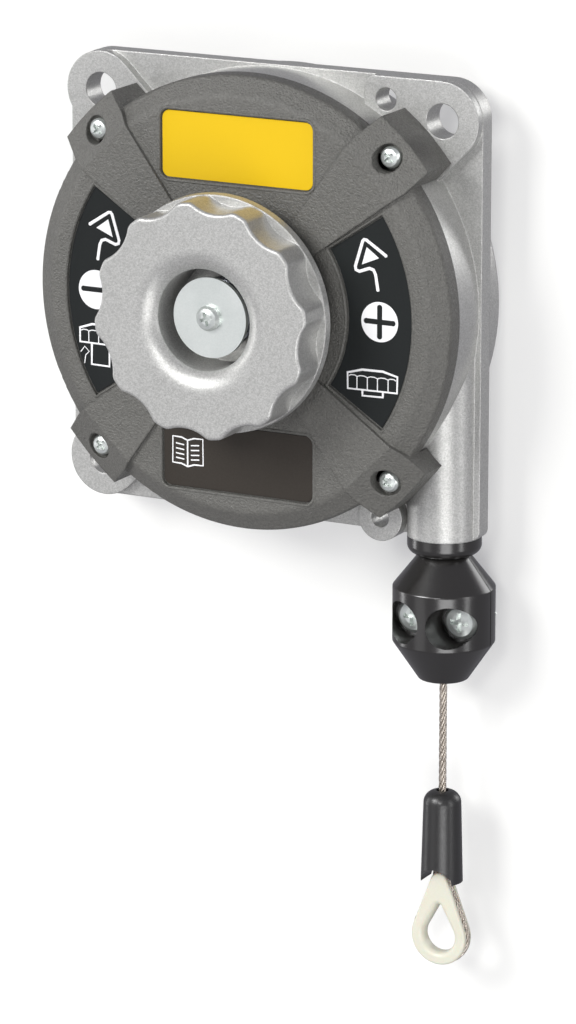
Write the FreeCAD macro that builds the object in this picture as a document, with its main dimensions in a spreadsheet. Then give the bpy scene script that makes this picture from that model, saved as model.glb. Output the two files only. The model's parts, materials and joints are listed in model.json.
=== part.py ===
import FreeCAD, Part
import math
import os
import Sketcher
from FreeCAD import Placement, Rotation, Vector

# Spring balancer for hand tools. Millimetres, +Z up. The origin is the drum axis on the flat
# rear face of the housing and the knob faces -Y, so "ahead" means a distance towards -Y.

SIZES = {
    # housing: square mounting plate, spring drum pot and cable tube
    "rear_depth": 12.0,
    "rear_step": 0.6,
    "rear_wall": 3.0,
    "rear_rounding": 3.0,
    "wall_radius": 72.1,
    "wall_thick": 3.5,
    "wall_height": 15.0,
    "plate_margin": 0.9,
    "plate_thick": 6.2,
    "plate_corner": 12.4,
    "outlet_corner": 3.0,
    "mount_inset": 12.5,
    "mount_radius": 5.5,
    "pad_height": 3.1,
    "ear_reach": 27.0,
    "ear_width": 18.0,
    "ear_corner": 4.0,
    "ear_hole_inset": 7.6,
    "ear_hole_drop": 7.2,
    "ear_hole_radius": 3.6,
    "lug_aside": 19.0,
    "lug_inset": 5.0,
    "lug_radius": 7.65,
    "lug_rise": 4.6,
    "lug_hole_radius": 3.15,
    "boss_radius": 4.5,
    "tube_radius": 11.85,
    "tube_bore": 8.8,
    "tube_top": 8.0,
    "hub_radius": 11.0,
    "hub_length": 5.0,
    "journal_floor": 2.0,
    # front cover
    "cover_overhang": 0.7,
    "side_height": 5.9,
    "shoulder": 6.3,
    "shoulder_rounding": 4.0,
    "side_rounding": 1.5,
    "cover_height": 10.0,
    "cover_wall": 2.6,
    "cover_hub_wall": 4.0,
    "cover_hub_depth": 1.8,
    "arm_rise": 1.2,
    "arm_start": 30.0,
    "arm_start_half": 5.3,
    "arm_wide_inset": 2.8,
    "arm_wide_half": 11.8,
    "arm_overhang": 6.7,
    "arm_tip_half": 11.4,
    "arm_crease_inset": 6.8,
    "arm_drop": 7.2,
    "screw_inset": 0.2,
    "screw_radius": 2.0,
    "screw_length": 22.0,
    "cover_head_radius": 3.4,
    "screw_head_radius": 4.0,
    "screw_head_height": 2.6,
    "screw_seat": 4.1,
    "counterbore": 4.4,
    # printed plates sunk in the cover
    "label_edge": 5.7,
    "label_width": 21.6,
    "end_label_width": 21.2,
    "label_depth": 1.2,
    "label_thick": 0.4,
    "label_border": 0.4,
    "label_angle": 33.3,
    "label_border_angle": 0.6,
    "label_half_length": 26.5,
    "label_corner": 2.5,
    # arbor and its bearings
    "journal_radius": 6.0,
    "shaft_radius": 8.5,
    "core_radius": 12.5,
    "hex_flats": 14.0,
    "slot_width": 1.6,
    "slot_depth": 6.0,
    "bush_radius": 10.5,
    "thrust_radius": 13.5,
    "thrust_room": 0.9,
    "running_gap": 0.05,
    "press_gap": 0.02,
    "side_gap": 0.1,
    "free_gap": 0.3,
    # cable drum and power spring
    "flange_room": 4.6,
    "flange_height": 4.6,
    "flange_thick": 2.0,
    "rope_size": 2.5,
    "rope_zone": 16.2,
    "barrel_step": 1.9,
    "barrel_wall": 4.0,
    "drum_floor": 4.0,
    "lid_thick": 2.2,
    "lid_step": 2.0,
    "strip_thick": 1.0,
    "strip_pitch": 2.6,
    "hook_length": 4.5,
    "coil_width": 5.2,
    "anchor_radius": 1.9,
    "anchor_length": 4.0,
    # ratchet and knob
    "ring_inner": 13.0,
    "ring_outer": 24.0,
    "ring_sink": 2.0,
    "ring_rise": 0.8,
    "tooth_margin": 1.25,
    "tooth_width": 4.4,
    "tooth_land": 1.2,
    "tooth_height": 2.2,
    "tooth_count": 12,
    "knob_gap": 0.6,
    "knob_taper": 7.9,
    "knob_base_inset": 4.6,
    "flute_ledge": 2.6,
    "flute_length": 12.6,
    "rim_step": 0.6,
    "lobe_radius": 37.5,
    "lobe_angle": 8.0,
    "ledge_step": 0.3,
    "flute_depth": 2.7,
    "flute_radius": 13.8,
    "flute_rounding": 3.6,
    "face_rounding": 1.1,
    "face_wall": 4.8,
    "dish_radius": 23.0,
    "dish_depth": 3.5,
    "bore_radius": 16.2,
    "web_thick": 5.2,
    "skirt_wall": 6.6,
    "spring_room": 9.7,
    "washer_radius": 12.74,
    "washer_thick": 1.5,
    "spring_wire": 1.3,
    "spring_radius": 10.6,
    "spring_turns": 3.5,
    # cable outlet and cable stop
    "bushing_height": 5.7,
    "bushing_rounding": 3.0,
    "bushing_spigot": 12.0,
    "bushing_wall": 1.5,
    "bushing_eye": 2.0,
    "stop_neck": 8.1,
    "stop_radius": 16.4,
    "stop_cone": 10.6,
    "stop_body": 17.9,
    "stop_foot": 12.6,
    "stop_foot_radius": 7.9,
    "stop_split": 0.4,
    "stop_rounding": 1.0,
    "stop_screw_across": 8.2,
    "stop_screw_down": 20.5,
    "stop_counterbore": 6.8,
    "stop_screw_radius": 3.0,
    "stop_head_radius": 5.7,
    "stop_head_height": 3.2,
    "stop_seat": 2.9,
    "nut_seat": 5.5,
    "nut_flats": 10.0,
    "nut_thick": 4.0,
    # cable end
    "cable_free": 37.7,
    "sleeve_top_radius": 6.1,
    "sleeve_radius": 6.8,
    "sleeve_length": 30.35,
    "sleeve_mouth": 2.0,
    "sleeve_mouth_depth": 3.0,
    "arch_radius": 5.6,
    "arch_rise": 5.1,
    "ferrule_radius": 3.0,
    "ferrule_length": 14.0,
    "ferrule_sink": 9.0,
    "eye_drop": 28.15,
    "eye_radius": 9.6,
    "eye_tip": 3.0,
    "eye_height": 18.5,
    "eye_groove": 2.8,
    "eye_thick": 5.4,
    "cheek_rounding": 0.8,
    "hole_rounding": 1.9,
    "leg_bend": 10.0,
    "groove_width": 2.8,
    "hole_radius": 5.5,
    "hole_tip": 0.8,
    "hole_height": 9.8,
}


class Size:
    # A length or angle that keeps its sheet formula next to its value.
    def __init__(self, formula, value):
        self.formula = formula
        self.value = value

    def joined(self, sign, other, value):
        return Size(f"({self.formula} {sign} {other.formula})", value)

    def __add__(self, other):
        other = as_size(other)
        return self.joined("+", other, self.value + other.value)

    def __radd__(self, other):
        return as_size(other) + self

    def __sub__(self, other):
        other = as_size(other)
        return self.joined("-", other, self.value - other.value)

    def __rsub__(self, other):
        return as_size(other) - self

    def __mul__(self, other):
        other = as_size(other)
        return self.joined("*", other, self.value * other.value)

    def __rmul__(self, other):
        return as_size(other) * self

    def __truediv__(self, other):
        other = as_size(other)
        return self.joined("/", other, self.value / other.value)

    def __neg__(self):
        return as_size(0) - self


def as_size(number):
    return number if isinstance(number, Size) else Size(repr(number), float(number))


def root(size):
    return Size(f"sqrt({size.formula})", math.sqrt(size.value))


def sine(angle):
    return Size(f"sin({angle.formula})", math.sin(math.radians(angle.value)))


def cosine(angle):
    return Size(f"cos({angle.formula})", math.cos(math.radians(angle.value)))


class Sizes:
    pass


doc = FreeCAD.newDocument("ToolBalancer")
sheet = doc.addObject("Spreadsheet::Sheet", "Sizes")
size = Sizes()
for row, (alias, number) in enumerate(SIZES.items(), start=1):
    sheet.set(f"A{row}", alias)
    sheet.set(f"B{row}", str(number))
    sheet.setAlias(f"B{row}", alias)
doc.recompute()
for alias in SIZES:
    setattr(size, alias, Size(f"Sizes.{alias}", float(sheet.get(alias))))

ZERO = as_size(0)
QUARTER_TURNS = (45, 135, 225, 315)
FLUTES = 12
SPRING_COILS = 4
OVERRUN = 1
RECESS_TURN = 18

# Distances ahead of the rear face, from the back to the front.
plate_front = size.rear_depth + size.plate_thick
wall_front = plate_front + size.wall_height
pad_front = plate_front + size.pad_height
rope_ahead = size.rear_depth + size.plate_thick / 2
cover_face = wall_front + size.cover_height
cover_inside = cover_face - size.cover_wall
arm_face = cover_face + size.arm_rise
screw_seat = wall_front + size.screw_seat
label_floor = cover_face - size.label_depth
hub_front = size.rear_wall + size.hub_length
hub_back = cover_inside - size.cover_hub_depth
drum_back = hub_front + size.thrust_room
drum_front = hub_back - size.thrust_room
chamber_back = drum_back + size.drum_floor
lid_back = drum_front - size.lid_thick
core_start = chamber_back + size.free_gap
core_end = lid_back - size.free_gap
ring_floor = cover_face - size.ring_sink
ring_face = cover_face + size.ring_rise
web_back = ring_face + size.free_gap
web_front = web_back + size.web_thick
knob_back = arm_face + size.knob_gap
knob_rim = knob_back + size.knob_taper
ledge = knob_rim + size.flute_ledge
knob_front = ledge + size.flute_length
arbor_end = web_front + size.spring_room

# Distances from the drum axis.
rear_radius = size.wall_radius - size.rear_step
cavity_radius = size.wall_radius - size.wall_thick
plate_half = size.wall_radius + size.plate_margin
mount_half = plate_half - size.mount_inset
side_radius = size.wall_radius + size.cover_overhang
crease_radius = side_radius - size.shoulder
screw_circle = side_radius - size.screw_inset
label_outer = crease_radius - size.label_edge
label_inner = label_outer - size.label_width
flange_radius = cavity_radius - size.flange_room
rope_radius = flange_radius - size.flange_height
barrel_radius = rope_radius - size.barrel_step
chamber_radius = barrel_radius - size.barrel_wall
rope_floor = rope_radius - size.rope_size / 2 - size.running_gap
cover_bore = size.bush_radius + size.press_gap
cover_hub_radius = size.bush_radius + size.cover_hub_wall

arm_wide = side_radius - size.arm_wide_inset
arm_tip = side_radius + size.arm_overhang
arm_crease = side_radius - size.arm_crease_inset
tooth_inner = size.ring_inner + size.tooth_margin
tooth_outer = size.ring_outer - size.tooth_margin
rim_radius = size.lobe_radius + size.rim_step
skirt_inner = rim_radius - size.skirt_wall
cable_across = rope_radius
anchor_ahead = rope_ahead + size.rope_zone / 4

# Distances below the drum axis, along the cable.
bushing_bottom = plate_half + size.bushing_height
stop_top = bushing_bottom + size.free_gap
stop_shoulder = stop_top + size.stop_cone
stop_hip = stop_shoulder + size.stop_body
stop_bottom = stop_hip + size.stop_foot
stop_screw_level = stop_top + size.stop_screw_down
sleeve_top = stop_bottom + size.cable_free
sleeve_bottom = sleeve_top + size.sleeve_length
ferrule_top = sleeve_top + size.ferrule_sink
ferrule_bottom = ferrule_top + size.ferrule_length
eye_bottom = sleeve_bottom + size.eye_drop
cable_bore = size.rope_size / 2 + size.running_gap


def bind(thing, **properties):
    for name, value in properties.items():
        value = as_size(value)
        setattr(thing, name, value.value)
        thing.setExpression(name, value.formula)


def new_body(label):
    body = doc.addObject("PartDesign::Body", label)
    body.Label = label
    return body


def origin_part(body, role):
    return next(part for part in body.Origin.OriginFeatures if part.Role == role)


def new_sketch(body, role, ahead=ZERO, turn=0, aside=(ZERO, ZERO)):
    # "ahead" lifts the sketch off the origin plane along the plane's own normal
    sketch = body.newObject("Sketcher::SketchObject", body.Label + "_outline")
    sketch.AttachmentSupport = [(origin_part(body, role), "")]
    sketch.MapMode = "FlatFace"
    shift = (as_size(aside[0]), as_size(aside[1]), as_size(ahead))
    base = Vector(*(part.value for part in shift))
    sketch.AttachmentOffset = Placement(base, Rotation(Vector(0, 0, 1), turn))
    for axis, part in zip("xyz", shift):
        sketch.setExpression(f"AttachmentOffset.Base.{axis}", part.formula)
    return sketch


def constrain(sketch, constraint, value):
    index = sketch.addConstraint(constraint)
    sketch.setExpression(f"Constraints[{index}]", value.formula)


def pin(sketch, edge, end, across, up):
    across_rule = Sketcher.Constraint("DistanceX", -1, 1, edge, end, across.value)
    constrain(sketch, across_rule, across)
    up_rule = Sketcher.Constraint("DistanceY", -1, 1, edge, end, up.value)
    constrain(sketch, up_rule, up)


def circle(sketch, across, up, radius):
    across, up, radius = as_size(across), as_size(up), as_size(radius)
    centre = Vector(across.value, up.value, 0)
    edge = sketch.addGeometry(Part.Circle(centre, Vector(0, 0, 1), radius.value), False)
    constrain(sketch, Sketcher.Constraint("Radius", edge, radius.value), radius)
    pin(sketch, edge, 3, across, up)


def direction(centre, point):
    return math.atan2(point[1].value - centre[1].value, point[0].value - centre[0].value)


def softened(before, corner, after):
    # the two ends of the arc that rounds a corner, with its centre, radius and sense
    corner, radius = corner[:2], corner[2]
    arms = []
    for point in (before, after):
        across, up = point[0] - corner[0], point[1] - corner[1]
        length = root(across * across + up * up)
        arms.append((across / length, up / length))
    (ax, ay), (bx, by) = arms
    closeness = ax * bx + ay * by
    reach = radius * root((1 + closeness) / (1 - closeness))
    start = (corner[0] + ax * reach, corner[1] + ay * reach)
    stop = (corner[0] + bx * reach, corner[1] + by * reach)
    middle = reach / (1 + closeness)
    centre = (corner[0] + (ax + bx) * middle, corner[1] + (ay + by) * middle)
    sense = 1 if (ay * bx - ax * by).value > 0 else -1
    return [(*start, centre, radius, sense), stop]


def outline(sketch, corners):
    # Each corner is (across, up), with a radius where the corner is rounded. Where an arc
    # leaves it, the corner instead also holds the arc's centre, its radius and +1 for an
    # arc that runs anticlockwise or -1 for clockwise.
    count = len(corners)
    sharp = [tuple(as_size(part) if len(corner) < 4 else part for part in corner)
             for corner in corners]
    corners = []
    for index, corner in enumerate(sharp):
        before, after = sharp[index - 1], sharp[(index + 1) % count]
        corners += softened(before, corner, after) if len(corner) == 3 else [corner]
    first = sketch.GeometryCount
    count = len(corners)
    points = [(as_size(corner[0]), as_size(corner[1])) for corner in corners]
    ends = []
    for index, corner in enumerate(corners):
        start, stop = points[index], points[(index + 1) % count]
        if len(corner) == 2:
            line = Part.LineSegment(Vector(start[0].value, start[1].value, 0),
                                    Vector(stop[0].value, stop[1].value, 0))
            sketch.addGeometry(line, False)
            ends.append((1, 2))
            continue
        centre = (as_size(corner[2][0]), as_size(corner[2][1]))
        radius, sense = as_size(corner[3]), corner[4]
        round_edge = Part.Circle(Vector(centre[0].value, centre[1].value, 0),
                                 Vector(0, 0, 1), radius.value)
        angles = [direction(centre, start), direction(centre, stop)][::sense]
        edge = sketch.addGeometry(Part.ArcOfCircle(round_edge, *angles), False)
        constrain(sketch, Sketcher.Constraint("Radius", edge, radius.value), radius)
        pin(sketch, edge, 3, *centre)
        ends.append((1, 2) if sense > 0 else (2, 1))
    for index in range(count):
        after = (index + 1) % count
        rule = Sketcher.Constraint("Coincident", first + index, ends[index][1],
                                   first + after, ends[after][0])
        sketch.addConstraint(rule)
        arcs = [corner for corner in (corners[index], corners[index - 1]) if len(corner) > 2]
        if arcs:
            pin_along_arc(sketch, first + index, ends[index][0], points[index], arcs[0][2])
        else:
            pin(sketch, first + index, ends[index][0], *points[index])


def pin_along_arc(sketch, edge, end, point, centre):
    # a point already on an arc needs only the coordinate that changes faster along it
    across = abs(point[0].value - as_size(centre[0]).value)
    up = abs(point[1].value - as_size(centre[1]).value)
    kind, value = ("DistanceX", point[0]) if up > across else ("DistanceY", point[1])
    constrain(sketch, Sketcher.Constraint(kind, -1, 1, edge, end, value.value), value)


def add_feature(body, kind, sketch, adds):
    before = body.Shape.Volume if body.Tip else 0
    feature = body.newObject("PartDesign::" + kind, body.Label + "_" + kind.lower())
    feature.Profile = sketch
    return feature, before, adds


def settle(body, feature, before, adds):
    doc.recompute()
    change = body.Shape.Volume - before
    if change * adds <= 0:
        raise ValueError(f"{feature.Label} changed nothing")
    return feature


def pad(body, sketch, length, centred=False, backwards=False):
    feature, before, adds = add_feature(body, "Pad", sketch, 1)
    bind(feature, Length=length)
    feature.SideType = "Symmetric" if centred else "One side"
    feature.Reversed = backwards
    return settle(body, feature, before, adds)


def pocket(body, sketch, length=None, centred=False, backwards=False):
    feature, before, adds = add_feature(body, "Pocket", sketch, -1)
    if length is None:
        feature.Type = "ThroughAll"
    else:
        bind(feature, Length=length)
    feature.SideType = "Symmetric" if centred else "One side"
    feature.Reversed = backwards
    return settle(body, feature, before, adds)


def revolve(body, sketch, angle=360, backwards=False):
    feature, before, adds = add_feature(body, "Revolution", sketch, 1)
    feature.ReferenceAxis = (sketch, ["V_Axis"])
    feature.Angle = angle
    feature.Reversed = backwards
    return settle(body, feature, before, adds)


def groove(body, sketch):
    feature, before, adds = add_feature(body, "Groove", sketch, -1)
    feature.ReferenceAxis = (sketch, ["V_Axis"])
    feature.Angle = 360
    return settle(body, feature, before, adds)


def around_drum(body, features, count):
    # the same features repeated about the drum axis
    pattern = body.newObject("PartDesign::PolarPattern", body.Label + "_ring")
    pattern.Originals = features
    pattern.Axis = (origin_part(body, "Y_Axis"), [""])
    pattern.Angle = 360
    if isinstance(count, Size):
        pattern.Occurrences = int(count.value)
        pattern.setExpression("Occurrences", count.formula)
    else:
        pattern.Occurrences = count
    body.Tip = pattern
    doc.recompute()
    return pattern


def along_axis(corners):
    # (radius, distance along the axis) turned to the across and up of a sketch
    turned = []
    for corner in corners:
        point = (as_size(corner[0]), -as_size(corner[1]), *corner[2:3])
        if len(corner) > 3:
            centre, radius, sense = corner[2:]
            point = point[:2]
            point += ((as_size(centre[0]), -as_size(centre[1])), as_size(radius), sense)
        turned.append(point)
    return turned


def profile(body, corners):
    # a half section through the drum axis: (radius, distance ahead)
    sketch = new_sketch(body, "XY_Plane")
    outline(sketch, along_axis(corners))
    return sketch


def cable_profile(body, corners):
    # a half section through the cable's axis: (radius, distance below the drum axis)
    sketch = new_sketch(body, "XZ_Plane", rope_ahead, 0, (cable_across, ZERO))
    outline(sketch, along_axis(corners))
    return sketch


def front_circle(body, ahead, across, up, radius, turn=0):
    sketch = new_sketch(body, "XZ_Plane", ahead, turn)
    circle(sketch, across, up, radius)
    return sketch


def fillet(body, chosen, radius):
    base = body.Tip
    names = [f"Edge{number}" for number, edge in enumerate(base.Shape.Edges, start=1)
             if chosen(edge)]
    feature = body.newObject("PartDesign::Fillet", body.Label + "_rounding")
    feature.Base = (base, names)
    bind(feature, Radius=radius)
    doc.recompute()
    return feature


def lies_at(edge, ahead):
    # every point of the edge is the same distance ahead
    box = edge.BoundBox
    return max(abs(box.YMin + ahead.value), abs(box.YMax + ahead.value)) < 0.01


def is_ring(edge, radius, ahead):
    # a full circle about the drum axis
    if not isinstance(edge.Curve, Part.Circle):
        return False
    centre = edge.Curve.Center
    level = abs(centre.y + ahead.value) < 0.01
    on_axis = math.hypot(centre.x, centre.z) < 0.01
    return level and on_axis and abs(edge.Curve.Radius - radius.value) < 0.01


def housing():
    body = new_body("housing")
    plate(body)
    corner_pads(body)
    ear_and_lug(body)
    cable_tube(body)
    spring_pot(body)
    housing_holes(body)
    fillet(body, lambda edge: is_ring(edge, rear_radius, ZERO), size.rear_rounding)
    return body


def plate(body):
    side, corner, outlet = plate_half, size.plate_corner, size.outlet_corner
    inset = side - corner
    low = side - outlet
    sketch = new_sketch(body, "XZ_Plane", size.rear_depth)
    outline(sketch, [
        (-inset, -side), (low, -side, (low, -low), outlet, 1),
        (side, -low), (side, inset, (inset, inset), corner, 1),
        (inset, side), (-inset, side, (-inset, inset), corner, 1),
        (-side, inset), (-side, -inset, (-inset, -inset), corner, 1),
    ])
    pad(body, sketch, size.plate_thick)


def corner_pads(body):
    # a raised strip runs from each of three mounting holes to the pot
    reach = mount_half * math.sqrt(2)
    half = size.plate_corner
    start = cavity_radius - half
    for turn in QUARTER_TURNS[:3]:
        sketch = new_sketch(body, "XZ_Plane", plate_front, turn)
        outline(sketch, [(start, -half), (reach, -half, (reach, ZERO), half, 1),
                         (reach, half), (start, half)])
        pad(body, sketch, size.pad_height)
    for turn in QUARTER_TURNS:
        pad(body, front_circle(body, plate_front, screw_circle, 0, size.boss_radius, turn),
            size.wall_height)


def ear_and_lug(body):
    left, low = mount_half - size.ear_reach, plate_half - size.ear_width
    corner, top = size.ear_corner, plate_half
    sketch = new_sketch(body, "XZ_Plane", plate_front)
    outline(sketch, [(left, low), (mount_half, low), (mount_half, top),
                     (left + corner, top, (left + corner, top - corner), corner, 1),
                     (left, top - corner)])
    pad(body, sketch, size.pad_height)
    lug = lug_circle(body, size.rear_depth, size.lug_radius)
    pad(body, lug, size.plate_thick + size.lug_rise)


def lug_circle(body, ahead, radius):
    across, down = cable_across - size.lug_aside, plate_half - size.lug_inset
    return front_circle(body, ahead, across, -down, radius)


def cable_tube(body):
    sketch = new_sketch(body, "XY_Plane", -plate_half)
    circle(sketch, cable_across, -rope_ahead, size.tube_radius)
    pad(body, sketch, plate_half - size.tube_top)


def spring_pot(body):
    cavity = front_circle(body, wall_front, 0, 0, cavity_radius)
    pocket(body, cavity, wall_front - size.rear_wall)
    journal = size.journal_radius + size.running_gap
    revolve(body, profile(body, [
        (0, 0), (rear_radius, 0), (rear_radius, size.rear_depth),
        (size.wall_radius, size.rear_depth), (size.wall_radius, wall_front),
        (cavity_radius, wall_front), (cavity_radius, size.rear_wall),
        (size.hub_radius, size.rear_wall), (size.hub_radius, hub_front),
        (journal, hub_front), (journal, size.journal_floor), (0, size.journal_floor),
    ]))


def housing_holes(body):
    bore = new_sketch(body, "XY_Plane", -plate_half)
    circle(bore, cable_across, -rope_ahead, size.tube_bore)
    pocket(body, bore, plate_half - size.tube_top, backwards=True)
    reach = mount_half * math.sqrt(2)
    for turn in QUARTER_TURNS[:3]:
        pocket(body, front_circle(body, pad_front, reach, 0, size.mount_radius, turn),
               size.plate_thick + size.pad_height)
    ear_across = mount_half - size.ear_reach + size.ear_hole_inset
    ear = front_circle(body, pad_front, ear_across, plate_half - size.ear_hole_drop,
                       size.ear_hole_radius)
    pocket(body, ear, size.plate_thick + size.pad_height)
    lug = lug_circle(body, plate_front + size.lug_rise, size.lug_hole_radius)
    pocket(body, lug, size.plate_thick + size.lug_rise)
    thread = size.screw_radius + size.running_gap
    for turn in QUARTER_TURNS:
        pocket(body, front_circle(body, wall_front, screw_circle, 0, thread, turn),
               size.screw_length - size.screw_seat + size.free_gap)


def front_cover():
    body = new_body("front_cover")
    foot = pad_front
    tip = arm_tip
    half = size.arm_tip_half
    tip_across = root(tip * tip - half * half)
    sketch = new_sketch(body, "XZ_Plane", foot, QUARTER_TURNS[0])
    outline(sketch, [
        (size.arm_start, -size.arm_start_half), (arm_wide, -size.arm_wide_half),
        (tip_across, -half, (ZERO, ZERO), tip, 1), (tip_across, half),
        (arm_wide, size.arm_wide_half), (size.arm_start, size.arm_start_half),
    ])
    arm = pad(body, sketch, arm_face - foot)
    around_drum(body, [arm], 4)
    slope_arms(body)
    cover_dish(body)
    hollow_cover(body)
    cover_holes(body)
    label_recesses(body)
    return body


def slope_arms(body):
    # a flat slope down to each arm's end, its crease square to the arm
    slope = size.arm_drop / (arm_tip - arm_crease)
    beyond = arm_tip + OVERRUN
    sketch = profile(body, [
        (arm_crease, arm_face), (beyond, arm_face - slope * (beyond - arm_crease)),
        (beyond, arm_face + OVERRUN), (arm_crease, arm_face + OVERRUN),
    ])
    sketch.AttachmentOffset = Placement(Vector(), Rotation(Vector(0, 1, 0), -QUARTER_TURNS[0]))
    cut = pocket(body, sketch, size.arm_wide_half * 2 + OVERRUN, centred=True)
    around_drum(body, [cut], 4)


def cover_dish(body):
    revolve(body, profile(body, [
        (cover_bore, hub_back), (cover_hub_radius, cover_inside),
        (side_radius - size.cover_wall, wall_front), (side_radius, wall_front),
        (side_radius, wall_front + size.side_height, size.side_rounding),
        (crease_radius, cover_face, size.shoulder_rounding), (cover_bore, cover_face),
    ]))


def hollow_cover(body):
    clear = size.wall_radius + size.free_gap
    lip = side_radius - size.cover_wall
    floor = pad_front - OVERRUN
    groove(body, profile(body, [
        (0, floor), (clear, floor), (clear, wall_front), (lip, wall_front),
        (lip, wall_front + size.side_height - size.cover_wall / 2),
        (crease_radius - size.cover_wall / 2, cover_inside),
        (cover_hub_radius, cover_inside), (cover_hub_radius, hub_back),
        (0, hub_back),
    ]))
    ring = size.ring_outer + size.press_gap
    groove(body, profile(body, [
        (0, hub_back - OVERRUN), (cover_bore, hub_back - OVERRUN), (cover_bore, ring_floor),
        (ring, ring_floor), (ring, arm_face + OVERRUN), (0, arm_face + OVERRUN),
    ]))


def cover_holes(body):
    boss = size.boss_radius + size.free_gap
    shank = size.screw_radius + size.side_gap
    for turn in QUARTER_TURNS:
        pocket(body, front_circle(body, wall_front, screw_circle, 0, boss, turn),
               wall_front - pad_front)
        pocket(body, front_circle(body, screw_seat, screw_circle, 0, shank, turn),
               size.screw_seat)
        pocket(body, front_circle(body, arm_face, screw_circle, 0, size.counterbore, turn),
               arm_face - screw_seat)
    sketch = new_sketch(body, "XY_Plane", -plate_half)
    circle(sketch, cable_across, -rope_ahead, size.tube_radius + size.free_gap)
    pocket(body, sketch, mount_half, backwards=True)


def sector(sketch, inner, outer, angle, side):
    low_in = (side * inner * cosine(angle), -(inner * sine(angle)))
    low_out = (side * outer * cosine(angle), -(outer * sine(angle)))
    high_in = (low_in[0], inner * sine(angle))
    high_out = (low_out[0], outer * sine(angle))
    centre = (ZERO, ZERO)
    outline(sketch, [low_in, (*low_out, centre, outer, side),
                     high_out, (*high_in, centre, inner, -side)])


def rounded_box(sketch, half, low, high, corner, side):
    bottom, top = (low, high) if side > 0 else (-high, -low)
    across = half - corner
    low_in, high_in = bottom + corner, top - corner
    outline(sketch, [
        (-across, bottom), (across, bottom, (across, low_in), corner, 1),
        (half, low_in), (half, high_in, (across, high_in), corner, 1),
        (across, top), (-across, top, (-across, high_in), corner, 1),
        (-half, high_in), (-half, low_in, (-across, low_in), corner, 1),
    ])


def label_recesses(body):
    border = size.label_border
    for side in (1, -1):
        sketch = new_sketch(body, "XZ_Plane", cover_face)
        sector(sketch, label_inner - border, label_outer + border,
               size.label_angle + size.label_border_angle, side)
        pocket(body, sketch, size.label_depth)
        sketch = new_sketch(body, "XZ_Plane", cover_face)
        end_outline(sketch, side, border)
        pocket(body, sketch, size.label_depth)


def end_outline(sketch, side, grow):
    rounded_box(sketch, size.label_half_length + grow, label_inner - grow,
                label_inner + size.end_label_width + grow, size.label_corner + grow, side)


def side_label(label, side):
    body = new_body(label)
    sketch = new_sketch(body, "XZ_Plane", label_floor)
    sector(sketch, label_inner, label_outer, size.label_angle, side)
    pad(body, sketch, size.label_thick)
    return body


def end_label(label, side):
    body = new_body(label)
    sketch = new_sketch(body, "XZ_Plane", label_floor)
    end_outline(sketch, side, ZERO)
    pad(body, sketch, size.label_thick)
    return body


def screw_corners(radius, length, head_radius, head_height):
    # half section of a pan head screw, measured ahead of its seat
    return [(ZERO, -length), (radius, -length), (radius, ZERO), (head_radius, ZERO),
            (head_radius, head_height * 0.5), (head_radius * 0.8, head_height * 0.85),
            (head_radius * 0.45, head_height), (ZERO, head_height)]


def cross_recess(body, seat, across, up, head_radius, head_height, turn=0):
    # two crossed slots sunk in a screw head
    long, short = head_radius * 0.55, head_radius * 0.14
    depth = head_height * 0.55
    cuts = []
    for wide, high in ((long, short), (short, long)):
        sketch = new_sketch(body, "XZ_Plane", seat + head_height, turn)
        outline(sketch, [(across - wide, up - high), (across + wide, up - high),
                         (across + wide, up + high), (across - wide, up + high)])
        cuts.append(pocket(body, sketch, depth))
    return cuts


def cover_screws():
    body = new_body("cover_screws")
    sketch = new_sketch(body, "XY_Plane", ZERO, 0, (screw_circle, -screw_seat))
    corners = screw_corners(size.screw_radius, size.screw_length,
                            size.cover_head_radius, size.screw_head_height)
    outline(sketch, along_axis(corners))
    screw = revolve(body, sketch)
    cuts = cross_recess(body, screw_seat, screw_circle, ZERO, size.cover_head_radius,
                        size.screw_head_height)
    around_drum(body, [screw] + cuts, 4)
    body.Placement = Placement(Vector(0, 0, 0), Rotation(Vector(0, 1, 0), QUARTER_TURNS[0]))
    return body


def ring_body(label, inner, outer, back, front):
    body = new_body(label)
    revolve(body, profile(body, [(inner, back), (outer, back), (outer, front), (inner, front)]))
    return body


def bearings():
    inner = size.shaft_radius + size.running_gap
    outer = size.bush_radius
    thrust_inner = size.shaft_radius + size.free_gap
    ring_body("cover_bush", inner, outer, hub_back, ring_floor)
    ring_body("drum_bush_rear", inner, outer, drum_back, chamber_back)
    ring_body("drum_bush_front", inner, outer, lid_back, drum_front)
    ring_body("thrust_washer_rear", thrust_inner, size.thrust_radius,
              hub_front + size.side_gap, drum_back - size.side_gap)
    ring_body("thrust_washer_front", thrust_inner, size.thrust_radius,
              drum_front + size.side_gap, hub_back - size.side_gap)


def hexagon(sketch, flats):
    corner = flats / math.sqrt(3)
    outline(sketch, [(corner * math.cos(math.radians(60 * step)),
                      corner * math.sin(math.radians(60 * step))) for step in range(6)])


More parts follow.
